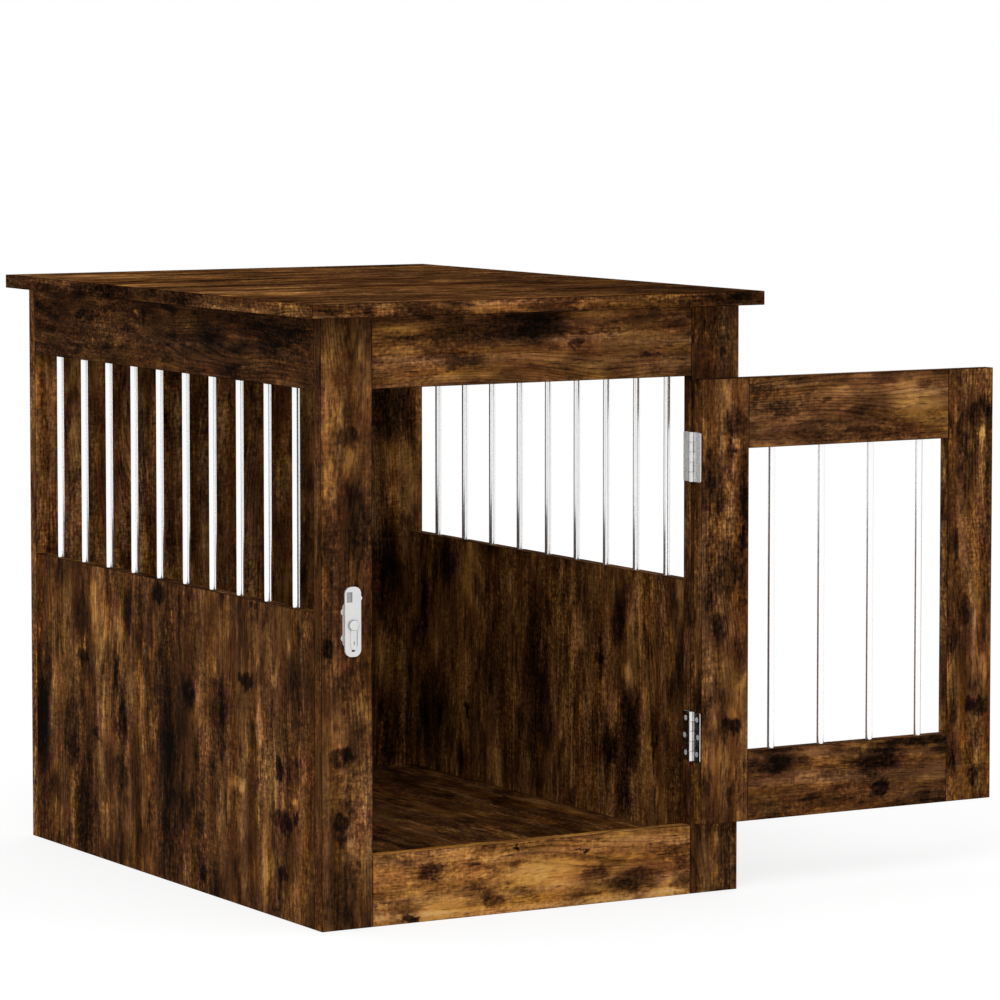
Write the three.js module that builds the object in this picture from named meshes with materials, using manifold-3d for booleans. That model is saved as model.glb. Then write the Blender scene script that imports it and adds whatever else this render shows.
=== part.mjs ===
// Dog crate end table: a board cabinet with barred sides and a barred front door on two butt hinges.
// Millimetres, +Z up, the front faces -Y and +X is to the right of someone who looks at the front.
// The origin is on the floor, under the middle of the front bottom rail, halfway through its thickness.
// At rest the door is folded back flat in front of the right post and the latch stands upright.

import * as THREE from "three";
import { mergeVertices } from "three/addons/utils/BufferGeometryUtils.js";
import Module from "manifold-3d";

// Cabinet
const TOP_WIDTH = 550;
const TOP_DEPTH = 750;
const HEIGHT = 650;
const BOARD = 15; // thickness of every board
const OVERHANG = 20; // tabletop past the body, on all four sides
const POST_WIDTH = 60;
const FRONT_RAIL_HEIGHT = 75;
const SIDE_RAIL_HEIGHT = 75;
const SIDE_PANEL_HEIGHT = 330;
const FLOOR_UNDERSIDE = 33;
const CLEAT_HEIGHT = 20;
const CLEAT_WIDTH = 15;
const CLEAT_END_GAP = 10;

// Bars
const BAR_DIAMETER = 8;
const BAR_SEAT = 10; // depth of the blind hole at each end
const BAR_FIT = 0.2; // radial clearance in the hole, and the clearance above the upper end
const SIDE_BAR_COUNT = 10;
const SIDE_BAR_END_GAP = 53; // from the last bar's axis to the end of its window
const DOOR_BAR_COUNT = 4;
const DOOR_BAR_END_GAP = 34.25;

// Dowels of the front frame
const DOWEL_DIAMETER = 8;
const DOWEL_SEAT = 15; // depth of the blind hole in each of the two boards
const DOWEL_FIT = 0.2;
const DOWEL_INSET = 20; // from a rail's edge to the dowel's axis

// Door
const DOOR_STILE_WIDTH = 60;
const DOOR_RAIL_HEIGHT = 76;
const HINGE_GAP = 3; // between the door's edge and the right post
const LATCH_GAP = 5; // between the door's edge and the left post
const DOOR_TOP_GAP = 2.5;
const DOOR_BOTTOM_GAP = 2.5;
const DOOR_REST_ANGLE = Math.PI; // folded back flat, counted from closed

// Butt hinges
const HINGE_HEIGHT = 53.5;
const UPPER_HINGE_FROM_DOOR_TOP = 84; // to the middle of the hinge
const LOWER_HINGE_FROM_DOOR_BOTTOM = 94.5;
const LEAF_THICKNESS = 1.2;
const LEAF_EDGE_MARGIN = 1; // board left free behind the leaf
const KNUCKLE_DIAMETER = 6.4;
const KNUCKLE_COUNT = 5; // odd ones belong to the frame leaf, even ones to the door leaf
const KNUCKLE_GAP = 0.3;
const AXIS_PROUD = 3; // hinge axis in front of the boards' faces
const PIN_DIAMETER = 3;
const PIN_FIT = 0.1;
const HINGE_SCREW_HOLE = 3.4;
const HINGE_SCREW_END_INSET = 8;
const HINGE_SCREW_NEAR = 6; // outer two screws, from the leaf's free edge
const HINGE_SCREW_FAR = 4; // middle screw, from the leaf's free edge

// Latch
const LATCH_FROM_OPENING = 26; // pivot, from the left post's inner edge
const LATCH_BASE_WIDTH = 18.5;
const LATCH_BASE_HEIGHT = 45;
const LATCH_BASE_THICKNESS = 1.5;
const LATCH_BASE_CORNER = 4;
const LATCH_EAR_RADIUS = 3.9;
const LATCH_EAR_X = 7.5; // ear centres, from the pivot
const LATCH_EAR_Z = 13.5;
const LATCH_SCREW_HOLE = 3;
const LATCH_HUB_DIAMETER = 14;
const LATCH_HUB_HEIGHT = 2;
const TURN_BAR_WIDTH = 18.5;
const TURN_BAR_UP = 39.8; // from the pivot to the upper end
const TURN_BAR_DOWN = 32.7;
const TURN_BAR_THICKNESS = 3;
const TURN_BAR_CORNER = 7.5;
const TURN_GAP = 0.3; // running clearance between the pieces that turn on each other
const STOP_NUB_RADIUS = 3;
const STOP_NUB_Z = 27.7;
const STOP_NUB_OUT = 1.2;
const POCKET_WIDTH = 6;
const POCKET_HEIGHT = 10;
const POCKET_DEPTH = 1.5;
const POCKET_FROM_EDGE = 1.9;
const POCKET_Z = 29.2; // middle of the pocket above the pivot
const PIVOT_DIAMETER = 5;
const PIVOT_FIT = 0.1;
const RIVET_HEAD_DIAMETER = 7.2;
const RIVET_HEAD_HEIGHT = 1;
const LEVER_DISC_DIAMETER = 12;
const LEVER_TAIL_WIDTH = 6;
const LEVER_TAIL_LENGTH = 25.2;
const LEVER_TAIL_CORNER = 2.8;
const LEVER_THICKNESS = 1.6;
const LEVER_HOLE_DIAMETER = 2.4;
const LEVER_HOLE_Z = 18.5; // below the pivot
const KNOB_RISE = 1.6;

// Facets
const ROUND_SIDES = 20;
const SMALL_SIDES = 16;
const ARC_STEPS = 6;
const CUT_PAST = 1; // how far a cutting solid runs past the face that it enters

// Sizes that follow
const BODY_WIDTH = TOP_WIDTH - 2 * OVERHANG;
const BODY_DEPTH = TOP_DEPTH - 2 * OVERHANG;
const BODY_HEIGHT = HEIGHT - BOARD;
const HALF_WIDTH = BODY_WIDTH / 2;
const FRONT = -BOARD / 2;
const BACK = FRONT + BODY_DEPTH;
const INNER_FRONT = FRONT + BOARD;
const INNER_BACK = BACK - BOARD;
const INNER_HALF_WIDTH = HALF_WIDTH - BOARD;
const OPENING_HALF_WIDTH = HALF_WIDTH - POST_WIDTH;
const OPENING_BOTTOM = FRONT_RAIL_HEIGHT;
const OPENING_TOP = BODY_HEIGHT - FRONT_RAIL_HEIGHT;
const WINDOW_TOP = BODY_HEIGHT - SIDE_RAIL_HEIGHT;
const DOOR_WIDTH = 2 * OPENING_HALF_WIDTH - HINGE_GAP - LATCH_GAP;
const DOOR_BOTTOM = OPENING_BOTTOM + DOOR_BOTTOM_GAP;
const DOOR_TOP = OPENING_TOP - DOOR_TOP_GAP;
const HINGE_AXIS_X = OPENING_HALF_WIDTH - HINGE_GAP / 2;
const HINGE_AXIS_Y = FRONT - AXIS_PROUD;
const HINGE_CENTRES = {
  upper: DOOR_TOP - UPPER_HINGE_FROM_DOOR_TOP,
  lower: DOOR_BOTTOM + LOWER_HINGE_FROM_DOOR_BOTTOM,
};
const LATCH_X = -OPENING_HALF_WIDTH - LATCH_FROM_OPENING;
const LATCH_Z = (OPENING_BOTTOM + OPENING_TOP) / 2;

const oak = () => new THREE.MeshStandardMaterial({ color: 0x4a2f1b, roughness: 0.55, metalness: 0 });
const beech = () => new THREE.MeshStandardMaterial({ color: 0xc8a878, roughness: 0.7, metalness: 0 });
const steel = () => new THREE.MeshStandardMaterial({ color: 0xdcdcdc, roughness: 0.2, metalness: 1 });
const zinc = () => new THREE.MeshStandardMaterial({ color: 0xd8d9da, roughness: 0.3, metalness: 1 });

const wasm = await Module();
wasm.setup();

// A closed geometry as a solid that can be joined and cut.
function solid(geometry) {
  const bare = geometry.clone();
  bare.deleteAttribute("normal");
  bare.deleteAttribute("uv");
  const merged = mergeVertices(bare);
  return new wasm.Manifold(
    new wasm.Mesh({
      numProp: 3,
      vertProperties: new Float32Array(merged.attributes.position.array),
      triVerts: new Uint32Array(merged.index.array),
    }),
  );
}

// A solid back as a geometry with flat normals.
function geometryOf(body) {
  const raw = body.getMesh();
  const geometry = new THREE.BufferGeometry();
  geometry.setAttribute("position", new THREE.BufferAttribute(raw.vertProperties, 3));
  geometry.setIndex(new THREE.BufferAttribute(raw.triVerts, 1));
  const flat = geometry.toNonIndexed();
  flat.computeVertexNormals();
  return flat;
}

function part(name, geometry, material) {
  const mesh = new THREE.Mesh(geometry, material);
  mesh.name = name;
  return mesh;
}

// A box between two values on each axis.
function block([x0, x1], [y0, y1], [z0, z1]) {
  const box = new THREE.BoxGeometry(x1 - x0, y1 - y0, z1 - z0);
  return box.translate((x0 + x1) / 2, (y0 + y1) / 2, (z0 + z1) / 2);
}

// Round rods from one end to the other, along each axis.
function uprightRod(diameter, x, y, z0, z1, sides = ROUND_SIDES) {
  const rod = new THREE.CylinderGeometry(diameter / 2, diameter / 2, z1 - z0, sides);
  return rod.rotateX(Math.PI / 2).translate(x, y, (z0 + z1) / 2);
}

function crossRod(diameter, x0, x1, y, z, sides = ROUND_SIDES) {
  const rod = new THREE.CylinderGeometry(diameter / 2, diameter / 2, x1 - x0, sides);
  return rod.rotateZ(Math.PI / 2).translate((x0 + x1) / 2, y, z);
}

function cutAll(geometry, cutters) {
  return geometryOf(cutters.reduce((body, cutter) => body.subtract(solid(cutter)), solid(geometry)));
}

// Places of the bars in a window between two ends, evenly spaced with a gap left at each end.
function barPlaces([start, end], count, endGap) {
  const pitch = (end - start - 2 * endGap) / (count - 1);
  return Array.from({ length: count }, (_, i) => start + endGap + i * pitch);
}

function barHoleBelow(x, y, top) {
  return uprightRod(BAR_DIAMETER + 2 * BAR_FIT, x, y, top - BAR_SEAT, top + CUT_PAST);
}

function barHoleAbove(x, y, bottom) {
  return uprightRod(BAR_DIAMETER + 2 * BAR_FIT, x, y, bottom - CUT_PAST, bottom + BAR_SEAT);
}

function bar(name, x, y, bottom, top) {
  return part(name, uprightRod(BAR_DIAMETER, x, y, bottom - BAR_SEAT, top + BAR_SEAT - BAR_FIT), steel());
}

const numbered = (stem, i) => `${stem}_${String(i + 1).padStart(2, "0")}`;

// Axis heights of the two dowels in each end of a front rail.
function dowelHeights(railBottom) {
  return [railBottom + DOWEL_INSET, railBottom + FRONT_RAIL_HEIGHT - DOWEL_INSET];
}

const FRONT_RAILS = { top: OPENING_TOP, bottom: 0 };
const SIDES = { left: -1, right: 1 };

function dowelHole(side, z) {
  const joint = side * OPENING_HALF_WIDTH;
  return crossRod(DOWEL_DIAMETER + 2 * DOWEL_FIT, joint - DOWEL_SEAT, joint + DOWEL_SEAT, 0, z);
}

function dowel(name, side, z) {
  const joint = side * OPENING_HALF_WIDTH;
  const reach = DOWEL_SEAT - DOWEL_FIT;
  return part(name, crossRod(DOWEL_DIAMETER, joint - reach, joint + reach, 0, z), beech());
}

function frontPost(side) {
  const edges = [side * OPENING_HALF_WIDTH, side * HALF_WIDTH].sort((a, b) => a - b);
  const board = block(edges, [FRONT, INNER_FRONT], [0, BODY_HEIGHT]);
  const heights = Object.values(FRONT_RAILS).flatMap(dowelHeights);
  return cutAll(board, heights.map((z) => dowelHole(side, z)));
}

function frontRail(railBottom) {
  const board = block(
    [-OPENING_HALF_WIDTH, OPENING_HALF_WIDTH],
    [FRONT, INNER_FRONT],
    [railBottom, railBottom + FRONT_RAIL_HEIGHT],
  );
  const holes = dowelHeights(railBottom).flatMap((z) => [dowelHole(-1, z), dowelHole(1, z)]);
  return cutAll(board, holes);
}

function frontFrame() {
  const group = new THREE.Group();
  for (const [sideName, side] of Object.entries(SIDES)) {
    group.add(part(`front_${sideName}_post`, frontPost(side), oak()));
  }
  for (const [railName, railBottom] of Object.entries(FRONT_RAILS)) {
    group.add(part(`front_${railName}_rail`, frontRail(railBottom), oak()));
    for (const [sideName, side] of Object.entries(SIDES)) {
      dowelHeights(railBottom).forEach((z, i) => {
        group.add(dowel(numbered(`${railName}_rail_${sideName}_dowel`, i), side, z));
      });
    }
  }
  return group;
}

// One barred side: a lower panel, a top rail and the bars between them, halfway through the boards.
function barredSide(sideName, side) {
  const group = new THREE.Group();
  const thickness = [side * INNER_HALF_WIDTH, side * HALF_WIDTH].sort((a, b) => a - b);
  const barX = side * (HALF_WIDTH - BOARD / 2);
  const places = barPlaces([INNER_FRONT, INNER_BACK], SIDE_BAR_COUNT, SIDE_BAR_END_GAP);
  const panel = block(thickness, [INNER_FRONT, INNER_BACK], [0, SIDE_PANEL_HEIGHT]);
  const rail = block(thickness, [INNER_FRONT, INNER_BACK], [WINDOW_TOP, BODY_HEIGHT]);
  const panelHoles = places.map((y) => barHoleBelow(barX, y, SIDE_PANEL_HEIGHT));
  const railHoles = places.map((y) => barHoleAbove(barX, y, WINDOW_TOP));
  group.add(part(`${sideName}_lower_panel`, cutAll(panel, panelHoles), oak()));
  group.add(part(`${sideName}_top_rail`, cutAll(rail, railHoles), oak()));
  places.forEach((y, i) => {
    group.add(bar(numbered(`${sideName}_bar`, i), barX, y, SIDE_PANEL_HEIGHT, WINDOW_TOP));
  });
  return group;
}

function tabletop() {
  const board = block(
    [-TOP_WIDTH / 2, TOP_WIDTH / 2],
    [FRONT - OVERHANG, BACK + OVERHANG],
    [BODY_HEIGHT, HEIGHT],
  );
  return part("tabletop", board, oak());
}

function backPanel() {
  return part("back_panel", block([-HALF_WIDTH, HALF_WIDTH], [INNER_BACK, BACK], [0, BODY_HEIGHT]), oak());
}

function floorPanel() {
  const board = block(
    [-INNER_HALF_WIDTH, INNER_HALF_WIDTH],
    [INNER_FRONT, INNER_BACK],
    [FLOOR_UNDERSIDE, FLOOR_UNDERSIDE + BOARD],
  );
  return part("floor_panel", board, oak());
}

function floorCleat(sideName, side) {
  const edges = [side * (INNER_HALF_WIDTH - CLEAT_WIDTH), side * INNER_HALF_WIDTH].sort((a, b) => a - b);
  const batten = block(
    edges,
    [INNER_FRONT + CLEAT_END_GAP, INNER_BACK - CLEAT_END_GAP],
    [FLOOR_UNDERSIDE - CLEAT_HEIGHT, FLOOR_UNDERSIDE],
  );
  return part(`${sideName}_floor_cleat`, batten, beech());
}

// Heights of the knuckles of one leaf, from the bottom of the hinge. Odd ones are the frame leaf's.
function knuckleSpans(forFrame) {
  const pitch = HINGE_HEIGHT / KNUCKLE_COUNT;
  const spans = [];
  for (let i = 0; i < KNUCKLE_COUNT; i += 1) {
    const isFrame = i % 2 === 0;
    if (isFrame === forFrame) {
      const bottom = i === 0 ? 0 : i * pitch + KNUCKLE_GAP / 2;
      const top = i === KNUCKLE_COUNT - 1 ? HINGE_HEIGHT : (i + 1) * pitch - KNUCKLE_GAP / 2;
      spans.push([bottom, top]);
    }
  }
  return spans;
}

// A hinge leaf around the axis x = 0, y = 0, from z = 0 up. Its plate lies on the board's edge at
// x = side * HINGE_GAP / 2 and runs back along +Y. side is 1 on the post and -1 on the door.
function hingeLeaf(side) {
  const face = (side * HINGE_GAP) / 2;
  const across = [face, face - side * LEAF_THICKNESS].sort((a, b) => a - b);
  const clearOfKnuckles = KNUCKLE_DIAMETER / 2 + KNUCKLE_GAP;
  const freeEdge = AXIS_PROUD + BOARD - LEAF_EDGE_MARGIN;
  let leaf = solid(block(across, [clearOfKnuckles, freeEdge], [0, HINGE_HEIGHT]));
  for (const [bottom, top] of knuckleSpans(side > 0)) {
    leaf = leaf.add(solid(block(across, [0, clearOfKnuckles + CUT_PAST], [bottom, top])));
    leaf = leaf.add(solid(uprightRod(KNUCKLE_DIAMETER, 0, 0, bottom, top)));
  }
  const bore = uprightRod(PIN_DIAMETER + 2 * PIN_FIT, 0, 0, -CUT_PAST, HINGE_HEIGHT + CUT_PAST);
  leaf = leaf.subtract(solid(bore));
  for (const [fromFreeEdge, z] of [
    [HINGE_SCREW_NEAR, HINGE_SCREW_END_INSET],
    [HINGE_SCREW_FAR, HINGE_HEIGHT / 2],
    [HINGE_SCREW_NEAR, HINGE_HEIGHT - HINGE_SCREW_END_INSET],
  ]) {
    const y = freeEdge - fromFreeEdge;
    const hole = crossRod(HINGE_SCREW_HOLE, across[0] - CUT_PAST, across[1] + CUT_PAST, y, z, SMALL_SIDES);
    leaf = leaf.subtract(solid(hole));
  }
  return geometryOf(leaf);
}

function hingeFixedPieces(hingeName, centre) {
  const group = new THREE.Group();
  group.position.set(HINGE_AXIS_X, HINGE_AXIS_Y, centre - HINGE_HEIGHT / 2);
  group.add(part(`${hingeName}_hinge_frame_leaf`, hingeLeaf(1), zinc()));
  group.add(part(`${hingeName}_hinge_pin`, uprightRod(PIN_DIAMETER, 0, 0, 0, HINGE_HEIGHT), steel()));
  return group;
}

// The door, modelled closed around its hinge axis and turned to its rest angle.
function door() {
  const group = new THREE.Group();
  group.position.set(HINGE_AXIS_X, HINGE_AXIS_Y, 0);
  group.rotation.z = DOOR_REST_ANGLE;
  const hingeEdge = -HINGE_GAP / 2;
  const latchEdge = hingeEdge - DOOR_WIDTH;
  const thickness = [AXIS_PROUD, AXIS_PROUD + BOARD];
  const middleY = AXIS_PROUD + BOARD / 2;
  const height = [DOOR_BOTTOM, DOOR_TOP];
  const inner = [latchEdge + DOOR_STILE_WIDTH, hingeEdge - DOOR_STILE_WIDTH];
  const windowBottom = DOOR_BOTTOM + DOOR_RAIL_HEIGHT;
  const windowTop = DOOR_TOP - DOOR_RAIL_HEIGHT;
  const places = barPlaces(inner, DOOR_BAR_COUNT, DOOR_BAR_END_GAP).reverse();
  const lowerHoles = places.map((x) => barHoleBelow(x, middleY, windowBottom));
  const upperHoles = places.map((x) => barHoleAbove(x, middleY, windowTop));
  const bottomRail = block(inner, thickness, [DOOR_BOTTOM, windowBottom]);
  const topRail = block(inner, thickness, [windowTop, DOOR_TOP]);
  group.add(part("door_hinge_stile", block([inner[1], hingeEdge], thickness, height), oak()));
  group.add(part("door_latch_stile", block([latchEdge, inner[0]], thickness, height), oak()));
  group.add(part("door_bottom_rail", cutAll(bottomRail, lowerHoles), oak()));
  group.add(part("door_top_rail", cutAll(topRail, upperHoles), oak()));
  places.forEach((x, i) => {
    group.add(bar(numbered("door_bar", i), x, middleY, windowBottom, windowTop));
  });
  for (const [hingeName, centre] of Object.entries(HINGE_CENTRES)) {
    const leaf = part(`${hingeName}_hinge_door_leaf`, hingeLeaf(-1), zinc());
    leaf.position.z = centre - HINGE_HEIGHT / 2;
    group.add(leaf);
  }
  return group;
}

// Latch pieces are drawn as seen from the front, x to the right and y up, and stand out along +Z.
function roundedOutline(left, right, bottom, top, corner) {
  const shape = new THREE.Shape();
  shape.moveTo(left + corner, bottom);
  shape.absarc(right - corner, bottom + corner, corner, -Math.PI / 2, 0);
  shape.absarc(right - corner, top - corner, corner, 0, Math.PI / 2);
  shape.absarc(left + corner, top - corner, corner, Math.PI / 2, Math.PI);
  shape.absarc(left + corner, bottom + corner, corner, Math.PI, 1.5 * Math.PI);
  return shape;
}

function plate(shape, from, thickness) {
  const made = new THREE.ExtrudeGeometry(shape, {
    depth: thickness,
    bevelEnabled: false,
    curveSegments: ARC_STEPS,
  });
  return made.translate(0, 0, from);
}

function latchBasePlate() {
  const halfWidth = LATCH_BASE_WIDTH / 2;
  const halfHeight = LATCH_BASE_HEIGHT / 2;
  const outline = roundedOutline(-halfWidth, halfWidth, -halfHeight, halfHeight, LATCH_BASE_CORNER);
  let base = solid(plate(outline, 0, LATCH_BASE_THICKNESS));
  const hubTop = LATCH_BASE_THICKNESS + LATCH_HUB_HEIGHT;
  base = base.add(solid(uprightRod(LATCH_HUB_DIAMETER, 0, 0, 0, hubTop)));
  for (const x of [-LATCH_EAR_X, LATCH_EAR_X]) {
    for (const y of [-LATCH_EAR_Z, LATCH_EAR_Z]) {
      base = base.add(solid(uprightRod(2 * LATCH_EAR_RADIUS, x, y, 0, LATCH_BASE_THICKNESS)));
      const hole = uprightRod(LATCH_SCREW_HOLE, x, y, -CUT_PAST, hubTop, SMALL_SIDES);
      base = base.subtract(solid(hole));
    }
  }
  const bore = uprightRod(PIVOT_DIAMETER + 2 * PIVOT_FIT, 0, 0, -CUT_PAST, hubTop + CUT_PAST);
  return geometryOf(base.subtract(solid(bore)));
}

const TURN_BAR_BACK = LATCH_BASE_THICKNESS + LATCH_HUB_HEIGHT + TURN_GAP;
const TURN_BAR_FACE = TURN_BAR_BACK + TURN_BAR_THICKNESS;
const RIVET_HEAD_UNDER = TURN_BAR_FACE + TURN_GAP;
const LEVER_FACE = TURN_BAR_FACE + LEVER_THICKNESS;

// The rivet: a shank from the post through the base and the bar, with a head inside the lever's disc.
function latchPivot() {
  const shank = PIVOT_DIAMETER / 2;
  const head = RIVET_HEAD_DIAMETER / 2;
  const top = RIVET_HEAD_UNDER + RIVET_HEAD_HEIGHT;
  const profile = [
    [0, 0],
    [shank, 0],
    [shank, RIVET_HEAD_UNDER],
    [head, RIVET_HEAD_UNDER],
    [head, top],
    [0, top],
  ];
  const turned = new THREE.LatheGeometry(profile.map(([r, y]) => new THREE.Vector2(r, y)), ROUND_SIDES);
  return turned.rotateX(Math.PI / 2);
}

function latchTurnBar() {
  const halfWidth = TURN_BAR_WIDTH / 2;
  const outline = roundedOutline(-halfWidth, halfWidth, -TURN_BAR_DOWN, TURN_BAR_UP, TURN_BAR_CORNER);
  let turnBar = solid(plate(outline, TURN_BAR_BACK, TURN_BAR_THICKNESS));
  const nubX = halfWidth + STOP_NUB_OUT - STOP_NUB_RADIUS;
  const nub = uprightRod(2 * STOP_NUB_RADIUS, nubX, STOP_NUB_Z, TURN_BAR_BACK, TURN_BAR_FACE);
  turnBar = turnBar.add(solid(nub));
  const bore = uprightRod(
    PIVOT_DIAMETER + 2 * PIVOT_FIT,
    0,
    0,
    TURN_BAR_BACK - CUT_PAST,
    TURN_BAR_FACE + CUT_PAST,
  );
  const pocketLeft = POCKET_FROM_EDGE - halfWidth;
  const pocket = block(
    [pocketLeft, pocketLeft + POCKET_WIDTH],
    [POCKET_Z - POCKET_HEIGHT / 2, POCKET_Z + POCKET_HEIGHT / 2],
    [TURN_BAR_FACE - POCKET_DEPTH, TURN_BAR_FACE + CUT_PAST],
  );
  return geometryOf(turnBar.subtract(solid(bore)).subtract(solid(pocket)));
}

// A disc over the rivet's head with a tail that hangs from it, under a low domed knob.
function latchThumbLever() {
  const radius = LEVER_DISC_DIAMETER / 2;
  const halfTail = LEVER_TAIL_WIDTH / 2;
  const tail = roundedOutline(-halfTail, halfTail, -LEVER_TAIL_LENGTH, 0, LEVER_TAIL_CORNER);
  let lever = solid(uprightRod(LEVER_DISC_DIAMETER, 0, 0, TURN_BAR_FACE, LEVER_FACE));
  lever = lever.add(solid(plate(tail, TURN_BAR_FACE, LEVER_THICKNESS)));
  lever = lever.add(solid(knobDome(radius)));
  const socket = uprightRod(
    RIVET_HEAD_DIAMETER + 2 * TURN_GAP,
    0,
    0,
    TURN_BAR_FACE - CUT_PAST,
    RIVET_HEAD_UNDER + RIVET_HEAD_HEIGHT + TURN_GAP,
  );
  const hole = uprightRod(
    LEVER_HOLE_DIAMETER,
    0,
    -LEVER_HOLE_Z,
    TURN_BAR_FACE - CUT_PAST,
    LEVER_FACE + CUT_PAST,
    SMALL_SIDES,
  );
  return geometryOf(lever.subtract(solid(socket)).subtract(solid(hole)));
}

// A spherical cap of the knob's rise, sunk into the disc by half the disc's thickness.
function knobDome(radius) {
  const sphere = (radius * radius + KNOB_RISE * KNOB_RISE) / (2 * KNOB_RISE);
  const halfAngle = Math.asin(radius / sphere);
  const profile = [new THREE.Vector2(0, LEVER_FACE - LEVER_THICKNESS / 2)];
  profile.push(new THREE.Vector2(radius, LEVER_FACE - LEVER_THICKNESS / 2));
  for (let i = 0; i <= ARC_STEPS; i += 1) {
    const angle = halfAngle * (1 - i / ARC_STEPS);
    const centre = LEVER_FACE + KNOB_RISE - sphere;
    const r = i === ARC_STEPS ? 0 : sphere * Math.sin(angle);
    profile.push(new THREE.Vector2(r, centre + sphere * Math.cos(angle)));
  }
  return new THREE.LatheGeometry(profile, ROUND_SIDES).rotateX(Math.PI / 2);
}

function latch() {
  const group = new THREE.Group();
  group.position.set(LATCH_X, FRONT, LATCH_Z);
  group.rotation.x = Math.PI / 2;
  group.add(part("latch_base_plate", latchBasePlate(), zinc()));
  group.add(part("latch_pivot", latchPivot(), steel()));
  group.add(part("latch_turn_bar", latchTurnBar(), zinc()));
  group.add(part("latch_thumb_lever", latchThumbLever(), zinc()));
  return group;
}

const crate = new THREE.Group();
crate.add(frontFrame());
crate.add(tabletop());
crate.add(backPanel());
crate.add(floorPanel());
for (const [sideName, side] of Object.entries(SIDES)) {
  crate.add(barredSide(sideName, side));
  crate.add(floorCleat(sideName, side));
}
for (const [hingeName, centre] of Object.entries(HINGE_CENTRES)) {
  crate.add(hingeFixedPieces(hingeName, centre));
}
crate.add(door());
crate.add(latch());

export default crate;
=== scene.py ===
import math

import bmesh
import bpy
from mathutils import Matrix, Vector


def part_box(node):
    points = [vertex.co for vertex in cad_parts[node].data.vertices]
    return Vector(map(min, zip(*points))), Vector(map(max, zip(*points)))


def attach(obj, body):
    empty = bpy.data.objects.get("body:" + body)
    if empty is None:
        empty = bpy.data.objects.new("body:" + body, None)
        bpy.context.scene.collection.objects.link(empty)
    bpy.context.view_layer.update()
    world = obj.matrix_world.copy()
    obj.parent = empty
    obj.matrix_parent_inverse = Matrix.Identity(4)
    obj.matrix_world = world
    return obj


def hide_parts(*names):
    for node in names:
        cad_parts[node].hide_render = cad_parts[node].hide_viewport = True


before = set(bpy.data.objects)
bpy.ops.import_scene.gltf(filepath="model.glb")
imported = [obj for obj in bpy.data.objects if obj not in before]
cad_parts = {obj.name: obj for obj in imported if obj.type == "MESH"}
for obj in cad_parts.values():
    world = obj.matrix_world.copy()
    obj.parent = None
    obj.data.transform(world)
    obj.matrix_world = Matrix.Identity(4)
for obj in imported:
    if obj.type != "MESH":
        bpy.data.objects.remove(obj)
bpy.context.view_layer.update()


# ---------------------------------------------------------------------------------------------
# Front frame: two posts and two rails of 15 mm chipboard, faced and edged with a smoked oak print.
# The rails are butted between the posts on hidden dowels. The grain runs up the posts and along the
# rails, and each edge is a glued band of the same print whose grain follows the edge.

MM = 0.001
X, Y, Z = 0, 1, 2
DOWN, UP = -1, 1
FLAT = 0.99  # a normal this far along an axis belongs to a flat face
CORNER = 1.0  # in radians: where faces meet at more than this, the edge is eased
SHARP_ANGLE = math.radians(20)
EDGE_EASE = 0.6 * MM
BAR_RADIUS = 4 * MM
BAR_CLEARANCE = 0.2 * MM
SOCKET_SEGMENTS = 24


def linear(code):
    """A six-digit sRGB hex colour as linear red, green, blue and alpha."""
    parts = [int(code[i : i + 2], 16) / 255 for i in (0, 2, 4)]
    return [c / 12.92 if c <= 0.04045 else ((c + 0.055) / 1.055) ** 2.4 for c in parts] + [1]


def add_node(tree, kind, settings=(), sockets=(), output=0):
    """Adds a node with its settings and its sockets' values or links. Returns one of its outputs, if it has
    any. On a MapRange, sockets 1 and 2 are the range that goes in, 3 and 4 the range that comes out."""
    node = tree.nodes.new("ShaderNode" + kind)
    for name, value in dict(settings).items():
        setattr(node, name, value)
    for key, value in dict(sockets).items():
        if isinstance(value, bpy.types.NodeSocket):
            tree.links.new(value, node.inputs[key])
        else:
            node.inputs[key].default_value = value
    return node.outputs[output] if node.outputs else None


def new_material(name):
    """A new material, its node tree and its shader's sockets."""
    material = bpy.data.materials.new(name)
    material.use_nodes = True
    return material, material.node_tree, material.node_tree.nodes["Principled BSDF"].inputs


def shade_ramp(ramp, stops):
    """Gives a colour ramp its stops, each a place and a hex colour."""
    elements = ramp.node.color_ramp.elements
    while len(elements) < len(stops):
        elements.new(0.5)
    for element, (place, code) in zip(elements, stops):
        element.position = place
        element.color = linear(code)


def finish_piece(name, mesh, body, material, nodes):
    """Makes an object of a bmesh, which is used up. It rides on its body and stands for its CAD nodes."""
    data = bpy.data.meshes.new(name)
    mesh.to_mesh(data)
    mesh.free()
    data.shade_smooth()
    data.set_sharp_from_angle(angle=SHARP_ANGLE)
    data.materials.append(material)
    piece = bpy.data.objects.new(name, data)
    bpy.context.scene.collection.objects.link(piece)
    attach(piece, body)
    if nodes:
        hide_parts(*nodes)


def outer_edges(mesh):
    """The edges where two faces meet at a corner."""
    return [e for e in mesh.edges if len(e.link_faces) == 2 and e.calc_face_angle(0) > CORNER]


def ease(mesh, edges, width, segments=2):
    """Rounds off edges, as sanding or stamping does."""
    bmesh.ops.bevel(
        mesh,
        geom=edges,
        offset=width,
        affect="EDGES",
        segments=segments,
        profile=0.5,
        material=-1,
    )


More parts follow.
